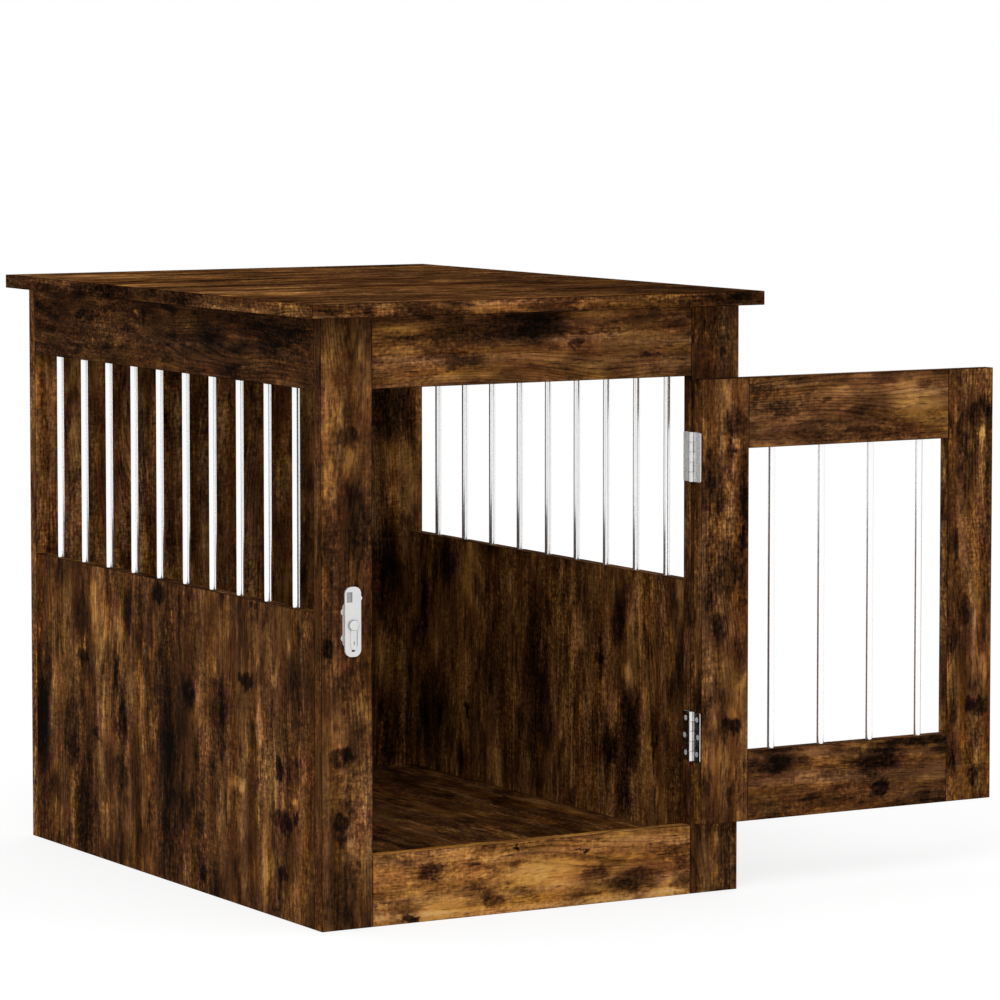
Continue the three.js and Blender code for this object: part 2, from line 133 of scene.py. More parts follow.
def drill_up_or_down(mesh, mouth, inward, radius, depth):
    """Turns the flat cell around mouth into a round socket that goes DOWN or UP."""
    around = [f for f in mesh.faces if abs(f.calc_center_median().z - mouth.z) < MM]
    around = [f for f in around if f.normal.z * -inward > FLAT]
    cell = min(around, key=lambda f: (f.calc_center_median() - mouth).length)
    border = list(cell.edges)
    bmesh.ops.delete(mesh, geom=[cell], context="FACES_ONLY")
    ring = bmesh.ops.create_circle(
        mesh,
        cap_ends=False,
        segments=SOCKET_SEGMENTS,
        radius=radius,
        matrix=Matrix.Translation(mouth),
    )["verts"]
    rim = list({e for v in ring for e in v.link_edges})
    bmesh.ops.bridge_loops(mesh, edges=border + rim)
    grown = bmesh.ops.extrude_edge_only(mesh, edges=rim)["geom"]
    bmesh.ops.translate(
        mesh,
        verts=[g for g in grown if isinstance(g, bmesh.types.BMVert)],
        vec=(0, 0, inward * depth),
    )
    bmesh.ops.contextual_create(mesh, geom=[g for g in grown if isinstance(g, bmesh.types.BMEdge)])


def lay_print(mesh, along, across, through, shown):
    """Writes where each face corner lies on its printed sheet: along and across the grain in mm, and the
    sheet's number. Sheet 0 is the face that shows, 1 the one behind it, 2 the long edges and 3 the ends."""
    place = mesh.loops.layers.float_vector.new("decor")
    rim = mesh.loops.layers.float.new("rim")
    for face in mesh.faces:
        side = max((X, Y, Z), key=lambda axis: abs(face.normal[axis]))
        eased = abs(face.normal[side]) < FLAT
        if side == through:
            u, v, sheet = along, across, 0 if face.normal[side] * shown > 0 else 1
        elif side == across:
            u, v, sheet = along, through, 2
        else:
            u, v, sheet = across, through, 3
        for corner in face.loops:
            at = corner.vert.co / MM
            corner[place] = (at[u], at[v], sheet)
            corner[rim] = 1.0 if eased else 0.0


def block(low, high):
    """A box between two corners."""
    mesh = bmesh.new()
    box = Matrix.Translation((low + high) / 2) @ Matrix.Diagonal((*(high - low), 1))
    bmesh.ops.create_cube(mesh, size=1, matrix=box)
    return mesh


def board(node, body, axes, material, bars=(), rods_enter=DOWN, shown=-1):
    """An eased board in the box of its CAD node. axes are those of its grain, width and thickness. Sockets
    for the bars are drilled DOWN from its top or UP from its underside. The face that shows is at the lower
    side of its thickness, or at the upper side where shown is 1."""
    low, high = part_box(node)
    mesh = block(low, high)
    mouths = []
    for bar in bars:
        bar_low, bar_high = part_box(bar)
        mouth = (bar_low + bar_high) / 2
        mouth.z = high.z if rods_enter == DOWN else low.z
        mouths.append((mouth, mouth.z - bar_low.z if rods_enter == DOWN else bar_high.z - mouth.z))
    # The bars stand in a row along the board. Cuts between them leave each a flat cell of its own.
    row = X if axes[2] == Y else Y
    mouths.sort(key=lambda m: m[0][row])
    for (first, _), (second, _) in zip(mouths, mouths[1:]):
        normal = Vector((0, 0, 0))
        normal[row] = 1
        everything = mesh.verts[:] + mesh.edges[:] + mesh.faces[:]
        bmesh.ops.bisect_plane(mesh, geom=everything, plane_co=(first + second) / 2, plane_no=normal)
    ease(mesh, outer_edges(mesh), EDGE_EASE)
    for mouth, depth in mouths:
        drill_up_or_down(mesh, mouth, rods_enter, BAR_RADIUS + BAR_CLEARANCE, depth)
    bmesh.ops.recalc_face_normals(mesh, faces=mesh.faces)
    lay_print(mesh, *axes, shown)
    finish_piece(node + "_board", mesh, body, material, [node])


# The print's inks from char to bare oak. The tone that is mixed below runs from 0 to TONE_TOP.
TONE_TOP = 1.25
OAK_INKS = (
    (0.00, "0c0704"),
    (0.20, "1d1009"),
    (0.38, "352010"),
    (0.53, "4c2e17"),
    (0.68, "6a4522"),
    (0.82, "8e6030"),
    (1.00, "bf8843"),
    (TONE_TOP, "dcab68"),
)
OAK_TONE = 0.53  # of a board with no lift, halfway through its swings
# Layers of the print: length and width of its features in mm, detail, and how far each swings the tone.
OAK_SMOKE = ((80, 40, 5, 0.85), (300, 15, 2, 0.40))  # clouds, and broad streaks
OAK_GRAIN = ((90, 2.2, 4, 0.36), (5.0, 3.4, 4, 0.76), (2.4, 14, 3, 0.30))  # fibres, mottle and saw marks
SHEETS_APART = 7.3  # in the noise, so that a board's faces, long edges and ends differ
GRAIN_SWAY = 12.0  # how far in mm the grain sways to each side
RINGS_PER_MM = 0.21
RING_SWAY = 17.0  # how many rings the growth rings sway over
TORN_PATCHES = ((17.9, 50, 18, -0.29), (21.3, 46, 10, 0.20))  # turn, length and width in mm, and tone
PORE_TONE = -0.22
STAVE = (520.0, 34.0, 1.0)  # length and width in mm, on one sheet
STAVE_TONE = 0.12
RAGGED_ALONG, RAGGED_ACROSS = 17, 12  # how far in mm the outline of a mark strays
KNOT_LENGTH = 13  # a dark mark whose half length is below this is a knot, with a firmer rim
KNOT_FADE, SMOKE_FADE = (1.25, 0.65), (1.5, 0.4)  # shares of a mark's size between which it fades in
# The darkening of every eased edge: partly a glue line, partly painted shade.
GLUE_LINE_AND_EDGE_SHADE_TONE = -0.26
OAK_GLOSS = 0.007


def smoked_oak(name, number, marks=(), lift=0.0, grain_strength=1.0, gloss=OAK_GLOSS):
    """Melamine paper printed with smoked oak: matt, dark, with knots, almost smooth with faint pressed pores.
    number is the board's, so that each has a print of its own. marks are its knots, smoke and gold: along,
    across, half length and half width in mm, the change of tone, and the sheet where that isn't 0. lift makes
    the board lighter. grain_strength is how strongly its streaks, grain and torn patches show."""
    material, tree, shader = new_material(name)
    printed = add_node(tree, "Attribute", {"attribute_name": "decor"}, output=1)
    eased = add_node(tree, "Attribute", {"attribute_name": "rim"}, output=2)
    soft_step = {"interpolation_type": "SMOOTHSTEP"}

    def print_layer(source, length, width, turn, output=0, **looks):
        """A layer whose features have a length and width in mm. turn gives each its own part of the noise."""
        scale = (1 / length, 1 / width, SHEETS_APART)
        start = (number * 3.7 + turn, number * 5.9 - turn, number * 2.3 + turn)
        place = {0: source, 1: scale, 2: start}
        place = add_node(tree, "VectorMath", {"operation": "MULTIPLY_ADD"}, place)
        return add_node(tree, "TexNoise", {}, {"Vector": place, "Scale": 1.0, **looks}, output)

    # The grain sways slowly from side to side.
    sway = print_layer(printed, 240, 80, 0.5, Detail=1.5)
    sway = add_node(tree, "MapRange", {}, {0: sway, 1: 0.2, 2: 0.8, 3: -GRAIN_SWAY, 4: GRAIN_SWAY})
    shift = add_node(tree, "CombineXYZ", {}, {1: sway})
    bent = add_node(tree, "VectorMath", {"operation": "ADD"}, {0: printed, 1: shift})

    # The streaks sway with the grain. The other layers lie straight.
    layers = []
    sources = (printed, bent, printed, printed, printed)
    for turn, (source, (length, width, detail, _)) in enumerate(zip(sources, OAK_SMOKE + OAK_GRAIN)):
        layers.append(print_layer(source, length, width, turn + 1.1, Detail=float(detail), Roughness=0.6))
    clouds, streaks, fibres, mottle, _ = layers
    cloud_swing, streak_swing = OAK_SMOKE[0][3], OAK_SMOKE[1][3] * grain_strength
    tone = OAK_TONE + lift - (cloud_swing + streak_swing) / 2
    for layer, swing_of_tone in zip(layers, (cloud_swing, streak_swing)):
        tone = add_node(tree, "Math", {"operation": "MULTIPLY_ADD"}, {0: layer, 1: swing_of_tone, 2: tone})
    # The fine grain is strong in some places and calm in others.
    swings = [layer[3] * grain_strength for layer in OAK_GRAIN]
    grain = -sum(swings) / 2
    for layer, swing_of_tone in zip(layers[len(OAK_SMOKE) :], swings):
        grain = add_node(tree, "Math", {"operation": "MULTIPLY_ADD"}, {0: layer, 1: swing_of_tone, 2: grain})
    busy = print_layer(printed, 120, 55, 26.7, Detail=2.0)
    busy = add_node(tree, "MapRange", {}, {0: busy, 1: 0.34, 2: 0.66, 3: 0.35, 4: 1.5})
    tone = add_node(tree, "Math", {"operation": "MULTIPLY_ADD"}, {0: grain, 1: busy, 2: tone})

    # Growth rings run along the board about 5 mm apart and sway: each fades in slowly and ends sharply.
    hills = print_layer(bent, 420, 58, 6.4, Detail=1.0)
    hills = add_node(tree, "Math", {"operation": "MULTIPLY"}, {0: hills, 1: RING_SWAY})
    across_grain = add_node(tree, "SeparateXYZ", {}, {0: bent}, output=1)
    ring = add_node(tree, "Math", {"operation": "MULTIPLY_ADD"}, {0: across_grain, 1: RINGS_PER_MM, 2: hills})
    ring = add_node(tree, "Math", {"operation": "FRACT"}, {0: ring})
    late_wood = add_node(tree, "MapRange", soft_step, {0: ring, 1: 0.50, 2: 0.90, 3: 0.0, 4: 1.0})
    clear_of_smoke = print_layer(printed, 170, 55, 8.2, Detail=2.0)
    clear_of_smoke = add_node(tree, "MapRange", {}, {0: clear_of_smoke, 1: 0.45, 2: 0.62, 3: 0.02, 4: 0.15})
    rings = add_node(tree, "Math", {"operation": "MULTIPLY"}, {0: late_wood, 1: clear_of_smoke})
    tone = add_node(tree, "Math", {"operation": "SUBTRACT"}, {0: tone, 1: rings})

    # Torn patches: char that took the stain, and gold where the wood was left bare.
    for turn, length, width, depth in TORN_PATCHES:
        depth *= grain_strength
        patch = print_layer(printed, length, width, turn, Detail=5.0, Roughness=0.6)
        patch = add_node(tree, "MapRange", soft_step, {0: patch, 1: 0.50, 2: 0.70, 3: 0.0, 4: depth})
        tone = add_node(tree, "Math", {"operation": "ADD"}, {0: tone, 1: patch})

    # Pores are dashes, drawn about twice as coarse as real ones so that they show.
    pores = print_layer(bent, 16, 1.5, 9.7, Detail=1.0)
    pores = add_node(tree, "MapRange", {}, {0: pores, 1: 0.60, 2: 0.70, 3: 0.0, 4: 1.0})
    tone = add_node(tree, "Math", {"operation": "MULTIPLY_ADD"}, {0: pores, 1: PORE_TONE, 2: tone})

    # The staves that the print was photographed from differ a little in tone.
    start = (number * 71.0, number * 23.0, number)
    staves = add_node(tree, "VectorMath", {"operation": "ADD"}, {0: printed, 1: start})
    staves = add_node(tree, "VectorMath", {"operation": "SNAP"}, {0: staves, 1: STAVE})
    staves = add_node(tree, "TexWhiteNoise", {}, {"Vector": staves})
    tone = add_node(tree, "Math", {"operation": "MULTIPLY_ADD"}, {0: staves, 1: STAVE_TONE, 2: tone})

    # Ragged ovals: knots, smoke and gold.
    ragged = print_layer(printed, 20, 12, 12.9, output=1, Detail=5.0, Roughness=0.66)
    span, start = (2 * RAGGED_ALONG, 2 * RAGGED_ACROSS, 0), (-RAGGED_ALONG, -RAGGED_ACROSS, 0)
    ragged = add_node(tree, "VectorMath", {"operation": "MULTIPLY_ADD"}, {0: ragged, 1: span, 2: start})
    ragged = add_node(tree, "VectorMath", {"operation": "ADD"}, {0: printed, 1: ragged})
    marked = 0.0
    for along, across, half_length, half_width, amount, *on_sheet in marks:
        centre = Vector((along / half_length, across / half_width, 4 * (on_sheet[0] if on_sheet else 0)))
        scale = (1 / half_length, 1 / half_width, 4)
        reach = add_node(tree, "VectorMath", {"operation": "MULTIPLY_ADD"}, {0: ragged, 1: scale, 2: -centre})
        reach = add_node(tree, "VectorMath", {"operation": "LENGTH"}, {0: reach}, output=1)
        outer, inner = KNOT_FADE if amount < 0 and half_length < KNOT_LENGTH else SMOKE_FADE
        reach = add_node(tree, "MapRange", soft_step, {0: reach, 1: outer, 2: inner, 3: 0.0, 4: amount})
        marked = add_node(tree, "Math", {"operation": "ADD"}, {0: marked, 1: reach})
    uneven = add_node(tree, "MapRange", {}, {0: mottle, 1: 0.3, 2: 0.7, 3: 1.3, 4: 0.75})
    tone = add_node(tree, "Math", {"operation": "MULTIPLY_ADD"}, {0: marked, 1: uneven, 2: tone})

    # A thin dark glue line shows where the edge band meets the face. The same darkening on every eased edge
    # is also painted shade, for edges that turn away from the light.
    tone = add_node(tree, "Math", {"operation": "MULTIPLY_ADD"}, {0: eased, 1: GLUE_LINE_AND_EDGE_SHADE_TONE, 2: tone})
    tone = add_node(tree, "Math", {"operation": "MULTIPLY"}, {0: tone, 1: 1 / TONE_TOP})
    inks = add_node(tree, "ValToRGB", {}, {0: tone})
    shade_ramp(inks, [(place / TONE_TOP, code) for place, code in OAK_INKS])
    # The brown leans to olive here and to red there.
    tints = print_layer(printed, 60, 24, 15.3, Detail=3.0)
    lean = add_node(tree, "MapRange", {}, {0: tints, 1: 0.32, 2: 0.68, 3: 0.491, 4: 0.506})
    strength = add_node(tree, "MapRange", {}, {0: streaks, 1: 0.3, 2: 0.7, 3: 1.05, 4: 0.93})
    tinted = add_node(tree, "HueSaturation", {}, {0: lean, 1: strength, 4: inks})
    tree.links.new(tinted, shader["Base Color"])
    rough = add_node(tree, "MapRange", {}, {0: clouds, 1: 0.3, 2: 0.7, 3: 0.72, 4: 0.86})
    tree.links.new(rough, shader["Roughness"])
    relief = add_node(tree, "Math", {"operation": "MULTIPLY_ADD"}, {0: pores, 1: -0.8, 2: fibres})
    pressed = add_node(tree, "Bump", {}, {"Strength": 0.30, "Distance": 0.15 * MM, "Height": relief})
    tree.links.new(pressed, shader["Normal"])
    shader["Specular IOR Level"].default_value = gloss
    return material


# Marks measured on the boards of the photograph, in mm. Each board's own grain runs along the first number.
left_post_marks = (
    (510, -224, 11, 16, -0.26),
    (572, -226, 34, 12, -0.12),
    (292, -246, 12, 7, -0.30),
    (258, -221, 15, 14, -0.16),
    (181, -229, 10, 16, -0.32),
    (112, -232, 10, 8, -0.28),
    (93, -233, 9, 7, -0.24),
    (68, -212, 5, 4, -0.24),
    (32, -234, 30, 15, -0.12),
    (430, -212, 40, 12, -0.10),
    (385, -217, 45, 20, -0.06),
    (470, -248, 120, 6, 0.16),
    (493, -222, 20, 8, 0.14),
    (235, -205, 30, 8, 0.12),
    (204, -238, 20, 12, 0.16),
    (15, -232, 18, 26, -0.14),
)
right_post_marks = (
    (600, 225, 45, 30, -0.18),
    (606, 212, 4, 3, 0.25),
    (40, 238, 40, 12, -0.10),
    (42, 226, 40, 4, 0.15),
)
top_rail_marks = (
    (-45, 618, 76, 16, -0.32),
    (12, 612, 28, 20, -0.32),
    (-92, 586, 24, 10, -0.28),
    (-142, 622, 46, 6, 0.22),
    (22, 602, 30, 18, 0.20),
    (-80, 571, 36, 9, 0.20),
    (51, 598, 10, 5, -0.30),
    (82, 611, 60, 2, -0.22),
    (145, 583, 40, 1.5, -0.22),
    (120, 590, 60, 20, 0.07),
    (-150, 611, 26, 2, -0.25),
    (-165, 590, 26, 12, 0.08),
    (103, 630, 80, 4, 0.12),
)
bottom_rail_marks = (
    (-126, 52, 14, 7, -0.39),
    (-151, 5, 10, 5, -0.57),
    (-51, 14, 12, 8, -0.21),
    (74, 31, 18, 9, -0.30),
    (122, 20, 32, 11, -0.39),
    (62, 60, 10, 1.5, -0.46),
    (-20, 70, 2.5, 2, -0.52),
    (187, 18, 14, 20, -0.29),
    (-72, 57, 10, 6, -0.16),
    (5, 43, 60, 12, 0.09),
    (-105, 12, 40, 9, 0.09),
)
left_post_oak = smoked_oak("oak_left_post", 1, left_post_marks, -0.04, 0.85)
right_post_oak = smoked_oak("oak_right_post", 2, right_post_marks, -0.05)
top_rail_oak = smoked_oak("oak_top_rail", 3, top_rail_marks, 0.03, 0.65)
bottom_rail_oak = smoked_oak("oak_bottom_rail", 4, bottom_rail_marks, 0.30, 0.85)
board("front_left_post", "crate", (Z, X, Y), left_post_oak)
board("front_right_post", "crate", (Z, X, Y), right_post_oak)
board("front_top_rail", "crate", (X, Z, Y), top_rail_oak)
board("front_bottom_rail", "crate", (X, Z, Y), bottom_rail_oak)


# ---------------------------------------------------------------------------------------------
# Dowels and cleats: fluted beech dowels glued into the ends of the front rails, and two beech battens
# screwed to the sides under the floor. Both are plain planed beech, pale with short dark flecks.

CLEAT_EASE = 0.8 * MM


def planed_beech():
    """European beech, planed: pale, matt, with short dark flecks a few millimetres long."""
    material, tree, shader = new_material("planed_beech")
    place = add_node(tree, "TexCoord", output=3)
    stretched = add_node(tree, "Mapping", {}, {0: place, "Scale": (900, 60, 900)})
    grain = add_node(tree, "TexNoise", {}, {"Vector": stretched, "Scale": 1.0, "Detail": 3.0})
    flecks = add_node(tree, "Mapping", {}, {0: place, "Scale": (1400, 330, 1400)})
    flecks = add_node(tree, "TexNoise", {}, {"Vector": flecks, "Scale": 1.0, "Detail": 1.0})
    flecks = add_node(tree, "MapRange", {}, {0: flecks, 1: 0.60, 2: 0.68, 3: 0.0, 4: -0.35})
    tone = add_node(tree, "Math", {"operation": "ADD"}, {0: grain, 1: flecks})
    colours = add_node(tree, "ValToRGB", {}, {0: tone})
    shade_ramp(colours, ((0.15, "9a7148"), (0.45, "c39a69"), (0.75, "d9b787")))
    tree.links.new(colours, shader["Base Color"])
    bump = add_node(tree, "Bump", {}, {"Strength": 0.3, "Distance": 0.1 * MM, "Height": grain})
    tree.links.new(bump, shader["Normal"])
    shader["Roughness"].default_value = 0.62
    shader["Specular IOR Level"].default_value = 0.35
    return material


beech = planed_beech()


def coat(node, material):
    """Gives a CAD node that stays a material."""
    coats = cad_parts[node].data.materials
    coats.clear()
    coats.append(material)


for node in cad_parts:
    if "dowel" in node:
        coat(node, beech)
for node in ("left_floor_cleat", "right_floor_cleat"):
    batten = block(*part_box(node))
    ease(batten, outer_edges(batten), CLEAT_EASE)
    finish_piece(node + "_batten", batten, "crate", beech, [node])


# ---------------------------------------------------------------------------------------------
# Sides: on each side a lower panel with upright grain and a top rail, both 15 mm board, with ten
# sockets drilled in each facing edge. They are butted between the front frame and the back panel.

left_panel_marks = (
    (165, 345, 200, 34, -0.16),
    (90, 672, 150, 22, -0.16),
    (205, 220, 40, 22, -0.11),
    (180, 405, 100, 26, 0.09),
    (285, 510, 50, 30, 0.14),
    (150, 505, 60, 20, 0.14),
    (250, 625, 90, 24, 0.09),
    (160, 20, 200, 14, -0.07),
    (242, 163, 9, 19, -0.37),
    (212, 220, 26, 20, -0.16),
    (212, 297, 15, 14, -0.41),
    (158, 86, 12, 9, -0.37),
    (104, 82, 10, 26, -0.32),
    (112, 49, 9, 4, -0.34),
    (126, 50, 6, 6, 0.37),
    (46, 79, 8, 11, -0.30),
    (19, 263, 10, 10, -0.39),
    (71, 274, 15, 12, -0.25),
    (315, 370, 12, 17, -0.34),
    (283, 445, 24, 10, -0.30),
    (167, 461, 34, 9, -0.48),
    (217, 477, 19, 4, -0.41),
    (103, 470, 30, 10, -0.28),
    (103, 497, 30, 12, -0.21),
    (224, 565, 8, 17, -0.37),
    (267, 570, 26, 22, -0.23),
    (49, 565, 50, 22, -0.34),
    (117, 590, 20, 15, -0.28),
    (140, 531, 6, 8, -0.30),
    (144, 674, 52, 16, -0.48),
    (67, 641, 15, 10, -0.23),
    (76, 395, 16, 4, -0.39),
    (262, 57, 26, 12, -0.21),
    (135, 356, 125, 14, -0.18),
    (326, 142, 5, 10, -0.25),
    (199, 133, 42, 8, 0.28),
    (258, 134, 20, 6, 0.21),
    (44, 120, 48, 8, 0.28),
    (130, 180, 8, 20, 0.23),
    (199, 428, 32, 26, 0.14),
    (253, 467, 36, 8, 0.21),
    (290, 536, 40, 8, 0.28),
    (240, 561, 5, 4, 0.34),
    (226, 488, 30, 6, 0.16),
    (244, 681, 12, 4, 0.28),
)
left_rail_marks = (
    (404, 617, 7, 9, -0.24),
    (422, 619, 6, 3, 0.42),
    (256, 605, 30, 12, -0.12),
    (533, 610, 26, 4, -0.22),
    (565, 612, 12, 5, -0.26),
    (483, 608, 42, 14, 0.14),
    (292, 567, 62, 4, 0.10),
    (370, 567, 26, 5, 0.12),
    (474, 628, 60, 3, 0.20),
    (110, 610, 110, 17, -0.10),
)
right_panel_marks = (
    (271, 212, 30, 14, -0.39),
    (223, 253, 6, 12, -0.26),
    (148, 192, 46, 22, -0.44),
    (128, 232, 18, 16, -0.44),
    (85, 203, 30, 16, -0.31),
    (194, 389, 90, 24, -0.29),
    (130, 430, 18, 8, -0.31),
    (103, 400, 20, 10, -0.26),
    (290, 540, 50, 22, 0.23),
    (220, 560, 70, 8, 0.16),
    (303, 600, 26, 20, -0.36),
    (239, 657, 40, 8, -0.36),
    (128, 553, 9, 4, -0.52),
    (112, 635, 50, 30, -0.36),
    (239, 76, 40, 18, -0.21),
    (212, 194, 16, 14, 0.26),
    (171, 289, 18, 8, 0.18),
    (257, 294, 30, 16, 0.10),
)
left_bars = [f"left_bar_{i:02d}" for i in range(1, 11)]
right_bars = [f"right_bar_{i:02d}" for i in range(1, 11)]
left_panel_oak = smoked_oak("oak_left_panel", 5, left_panel_marks, -0.01, 0.9)
# Part of the right panel's lift is painted light, which brightens the inside of the crate.
right_panel_oak = smoked_oak("oak_right_panel", 6, right_panel_marks, 0.08)
left_rail_oak = smoked_oak("oak_left_rail", 7, left_rail_marks, -0.16)
right_rail_oak = smoked_oak("oak_right_rail", 8, (), -0.06)
board("left_lower_panel", "crate", (Z, Y, X), left_panel_oak, left_bars, DOWN)
board("left_top_rail", "crate", (Y, Z, X), left_rail_oak, left_bars, UP)
board("right_lower_panel", "crate", (Z, Y, X), right_panel_oak, right_bars, DOWN)
board("right_top_rail", "crate", (Y, Z, X), right_rail_oak, right_bars, UP)


# ---------------------------------------------------------------------------------------------
# Bars of the sides: 8 mm round steel rods, cut to length, ground and bright plated. They stand in the
# sockets with a little play. The plating mirrors the room, with a faint haze drawn along the rod.

BAR_SEGMENTS = 40
BAR_END_EASE = 0.6 * MM


def bright_plate():
    """Bright nickel-plated steel: nearly a mirror, with fine grinding marks round the rod. A slight haze, its
    small matt share, turns dark reflections grey."""
    material, tree, shader = new_material("bright_plate")
    place = add_node(tree, "TexCoord", output=3)
    marks = add_node(tree, "Mapping", {}, {0: place, "Scale": (300, 300, 1600)})
    marks = add_node(tree, "TexNoise", {}, {"Vector": marks, "Scale": 1.0, "Detail": 2.0})
    haze = add_node(tree, "Mapping", {}, {0: place, "Scale": (120, 120, 9)})
    haze = add_node(tree, "TexNoise", {}, {"Vector": haze, "Scale": 1.0, "Detail": 2.0})
    rough = add_node(tree, "MapRange", {}, {0: haze, 1: 0.3, 2: 0.7, 3: 0.12, 4: 0.19})
    tree.links.new(rough, shader["Roughness"])
    bright = add_node(tree, "ValToRGB", {}, {0: haze})
    shade_ramp(bright, ((0.3, "f9f9f9"), (0.7, "ffffff")))
    tree.links.new(bright, shader["Base Color"])
    bump = add_node(tree, "Bump", {}, {"Strength": 0.006, "Distance": 0.02 * MM, "Height": marks})
    tree.links.new(bump, shader["Normal"])
    shader["Metallic"].default_value = 0.88
    return material


plated_steel = bright_plate()


def rod(node, body, material, end_ease, segments=BAR_SEGMENTS):
    """A round rod in the box of its upright CAD node, its ends eased."""
    low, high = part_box(node)
    radius = (high.x - low.x) / 2
    mesh = bmesh.new()
    bmesh.ops.create_cone(
        mesh,
        cap_ends=True,
        segments=segments,
        radius1=radius,
        radius2=radius,
        depth=high.z - low.z,
        matrix=Matrix.Translation((low + high) / 2),
    )
    ease(mesh, outer_edges(mesh), end_ease)
    finish_piece(node + "_rod", mesh, body, material, [node])


for node in left_bars + right_bars:
    rod(node, "crate", plated_steel, BAR_END_EASE)


# ---------------------------------------------------------------------------------------------
# Floor and back: the floor board lies on the cleats, its grain from front to back. The back is one
# full board with upright grain, fixed behind the sides, so that its edges show at the left and right.

floor_marks = (
    (330, 20, 160, 14, 0.12),
    (260, -60, 120, 8, -0.20),
    (480, -20, 100, 10, -0.16),
    (180, -150, 120, 10, -0.16),
    (560, -120, 120, 14, -0.14),
    (420, 90, 160, 12, 0.10),
)
back_marks = (
    (478, 205, 36, 34, -0.30),
    (395, 225, 44, 22, 0.12),
    (285, 200, 44, 26, -0.28),
    (172, 205, 34, 16, 0.10),
    (92, 218, 44, 34, -0.16),
)
board("floor_panel", "crate", (Y, X, Z), smoked_oak("oak_floor", 9, floor_marks, 0.02), shown=1)
# Part of the back panel's lift is painted light, which brightens the inside of the crate.
board("back_panel", "crate", (Z, X, Y), smoked_oak("oak_back", 10, back_marks, 0.07))


# ---------------------------------------------------------------------------------------------
# Tabletop: one 15 mm board that overhangs the body by 20 mm all round, fixed from below. The grain
# runs from left to right, and the band on each edge runs its own grain along the edge.

tabletop_marks = (
    (-190, 620, 60, 40, 0.18),
    (-205, 200, 60, 30, 0.14),
    (-180, 205, 40, 6, -0.16),
    (-225, 470, 40, 20, -0.12),
    (90, 340, 50, 30, 0.10),
    (200, 60, 70, 60, -0.12),
    (190, 650, 40, 30, 0.10),
    (180, 320, 150, 420, -0.08),
    (-215, 420, 60, 30, 0.18),
    (-140, 540, 60, 26, 0.16),
    (-120, 480, 90, 14, -0.26),
    (-170, 360, 80, 14, -0.26),
    (-60, 620, 90, 12, -0.22),
    (-60, 640, 34, 8, 0.16, 2),
    (-10, 643, 110, 6, 0.14, 2),
    (45, 641, 5, 7, 0.22, 2),
    (-195, 642, 10, 8, 0.16, 2),
    (-160, 642, 26, 8, -0.10, 2),
    (255, 642, 30, 10, -0.20, 2),
    (200, 642, 50, 9, -0.10, 2),
    (0, 642, 300, 16, -0.01, 2),
    (350, 642, 420, 16, -0.13, 3),
    (450, 642, 60, 9, -0.14, 3),
    (250, 642, 70, 9, -0.12, 3),
    (20, 642, 60, 9, 0.06, 3),
)
# The top is seen at a low angle, where even the faint gloss of the other boards would turn it pale.
tabletop_oak = smoked_oak("oak_tabletop", 11, tabletop_marks, 0.02, gloss=0.0)
board("tabletop", "crate", (X, Y, Z), tabletop_oak, shown=1)


# ---------------------------------------------------------------------------------------------
# Door: two stiles and two rails of 15 mm board, butted and doweled, with four plated bars between the
# rails. At rest it is folded back in front of the right post, so that its inner face shows.

DOOR_SHEET_STEP = 322  # the print of the latch stile repeats that of the hinge stile this far on
hinge_stile_marks = (
    (510, 237, 14, 15, -0.30),
    (483, 232, 12, 4, -0.20),
    (486, 241, 6, 4, 0.22),
    (440, 250, 60, 5, -0.24),
    (528, 223, 26, 9, 0.10),
    (391, 212, 36, 11, 0.15),
    (288, 218, 16, 8, -0.32),
    (258, 243, 22, 7, -0.20),
    (351, 246, 42, 8, -0.22),
    (221, 245, 16, 7, 0.18),
    (196, 233, 8, 8, 0.14),
    (181, 234, 11, 14, -0.36),
    (111, 231, 8, 7, -0.26),
    (98, 231, 6, 5, -0.24),
    (125, 202, 16, 6, -0.18),
    (145, 215, 52, 7, 0.12),
    (450, 216, 90, 1, -0.18),
    (360, 206, 60, 1.5, -0.18),
)
latch_stile_marks = [(along, across + DOOR_SHEET_STEP, *rest) for along, across, *rest in hinge_stile_marks]
door_top_marks = (
    (298, 521, 18, 9, -0.26),
    (282, 545, 16, 3, -0.16),
    (395, 518, 22, 5, -0.16),
    (402, 505, 80, 2.5, -0.12),
    (382, 491, 130, 7, -0.20),
    (368, 528, 26, 14, 0.20),
    (468, 525, 44, 20, 0.12),
    (415, 541, 60, 9, 0.10),
    (485, 543, 8, 5, -0.18),
    (355, 530, 6, 3, -0.24),
    (262, 540, 6, 18, -0.20),
)
door_bottom_marks = (
    (284, 137, 32, 9, -0.40),
    (328, 138, 10, 7, -0.24),
    (427, 133, 28, 15, -0.40),
    (427, 101, 12, 11, -0.36),
    (490, 148, 50, 5, -0.34),
    (332, 112, 36, 9, 0.14),
    (375, 121, 26, 8, 0.10),
    (332, 96, 13, 5, -0.20),
    (372, 121, 2.5, 2, -0.45),
    (300, 152, 30, 3, -0.30),
)
door_bars = [f"door_bar_{i:02d}" for i in range(1, 5)]
hinge_stile_oak = smoked_oak("oak_hinge_stile", 12, hinge_stile_marks, 0.01)
latch_stile_oak = smoked_oak("oak_latch_stile", 13, latch_stile_marks, 0.03)
door_top_oak = smoked_oak("oak_door_top", 14, door_top_marks, 0.07, 0.65)
door_bottom_oak = smoked_oak("oak_door_bottom", 15, door_bottom_marks, -0.01, 0.8)
board("door_hinge_stile", "door", (Z, X, Y), hinge_stile_oak)
board("door_latch_stile", "door", (Z, X, Y), latch_stile_oak)
board("door_top_rail", "door", (X, Z, Y), door_top_oak, door_bars, UP)
board("door_bottom_rail", "door", (X, Z, Y), door_bottom_oak, door_bars, DOWN)
for node in door_bars:
    rod(node, "door", plated_steel, BAR_END_EASE)


